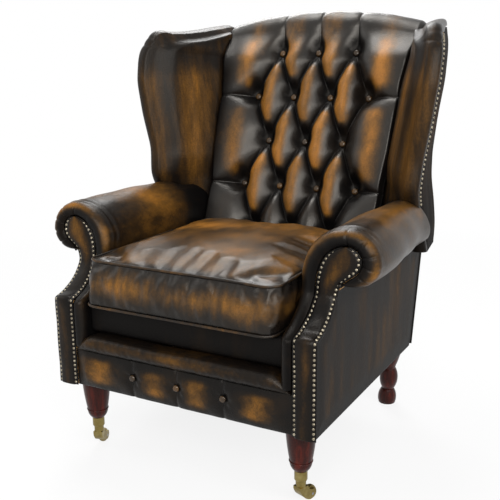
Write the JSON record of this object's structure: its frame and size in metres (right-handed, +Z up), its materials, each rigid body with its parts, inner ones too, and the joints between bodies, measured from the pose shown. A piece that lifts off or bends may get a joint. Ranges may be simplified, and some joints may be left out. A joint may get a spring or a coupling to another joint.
{
  "type": "wingback armchair",
  "caption": "High-backed easy chair with flared side wings, rolled arms, diamond-buttoned back, loose seat cushion, turned legs and front castors.",
  "frame": {"origin": "centre of the footprint, on the floor", "axes": "+Z up, +Y towards the back of the chair, +X towards the viewer's right when the chair is seen from the front; right in a node's name means +X"},
  "size_m": [0.852, 0.8411, 1.06],
  "materials": {
    "leather": "hand-rubbed semi-gloss leather, amber centres and near-black edges",
    "button_leather": "leather-covered buttons, semi-gloss",
    "piping_leather": "tan-brown rubbed piping",
    "frame_wood": "sawn hardwood",
    "mahogany": "polished dark red mahogany stain",
    "castor_brass": "satin brass",
    "pin_steel": "plain steel",
    "webbing_fabric": "woven jute webbing",
    "black_cloth": "thin black lining cloth"
  },
  "bodies": {
    "chair_body": {"front_rail": "frame_wood", "back_rail": "frame_wood", "tacking_rail": "frame_wood", "crest_rail": "frame_wood", "corner_blocks": "frame_wood", "front_post_left": "frame_wood", "front_post_right": "frame_wood", "arm_stump_left": "frame_wood", "arm_stump_right": "frame_wood", "side_rail_left": "frame_wood", "side_rail_right": "frame_wood", "rear_post_left": "frame_wood", "rear_post_right": "frame_wood", "arm_rail_left": "frame_wood", "arm_rail_right": "frame_wood", "wing_board_left": "frame_wood", "wing_board_right": "frame_wood", "front_leg_left": "mahogany", "front_leg_right": "mahogany", "rear_leg_left": "mahogany", "rear_leg_right": "mahogany", "castor_cup_left": "castor_brass", "castor_cup_right": "castor_brass", "arm_left": "leather", "arm_right": "leather", "arm_facing_left": "leather", "arm_facing_right": "leather", "wing_left": "leather", "wing_right": "leather", "outside_arm_panel_left": "leather", "outside_arm_panel_right": "leather", "outside_wing_left": "leather", "outside_wing_right": "leather", "outside_back_panel": "leather", "buttoned_back": "leather", "front_border": "leather", "front_roll": "leather", "seat_deck": "leather", "back_buttons": "button_leather", "border_buttons": "button_leather", "seat_webbing": "webbing_fabric", "dust_cover": "black_cloth"},
    "castor_swivel_left": {"castor_horn_left": "castor_brass", "castor_spindle_left": "pin_steel", "castor_axle_left": "pin_steel"},
    "castor_swivel_right": {"castor_horn_right": "castor_brass", "castor_spindle_right": "pin_steel", "castor_axle_right": "pin_steel"},
    "castor_roller_left": {"castor_wheel_left": "castor_brass"},
    "castor_roller_right": {"castor_wheel_right": "castor_brass"},
    "cushion": {"seat_cushion": "leather", "cushion_piping_top": "piping_leather", "cushion_piping_bottom": "piping_leather"}
  },
  "joints": [
    {"name": "castor_swivel_turn_left", "type": "hinge", "parent": "chair_body", "child": "castor_swivel_left", "pos_m": [-0.278, -0.3515, 0.05], "axis": [0, 0, 1], "continuous": true},
    {"name": "castor_swivel_turn_right", "type": "hinge", "parent": "chair_body", "child": "castor_swivel_right", "pos_m": [0.278, -0.3515, 0.05], "axis": [0, 0, 1], "continuous": true},
    {"name": "castor_wheel_spin_left", "type": "hinge", "parent": "castor_swivel_left", "child": "castor_roller_left", "pos_m": [-0.28668, -0.32699, 0.017], "axis": [-0.9426, -0.3338, 0], "continuous": true},
    {"name": "castor_wheel_spin_right", "type": "hinge", "parent": "castor_swivel_right", "child": "castor_roller_right", "pos_m": [0.28668, -0.32699, 0.017], "axis": [0.9426, -0.3338, 0], "continuous": true},
    {"name": "cushion_lift_off", "type": "slide", "parent": "chair_body", "child": "cushion", "axis": [0, 0, 1], "range_m": [0, 0.7]}
  ]
}
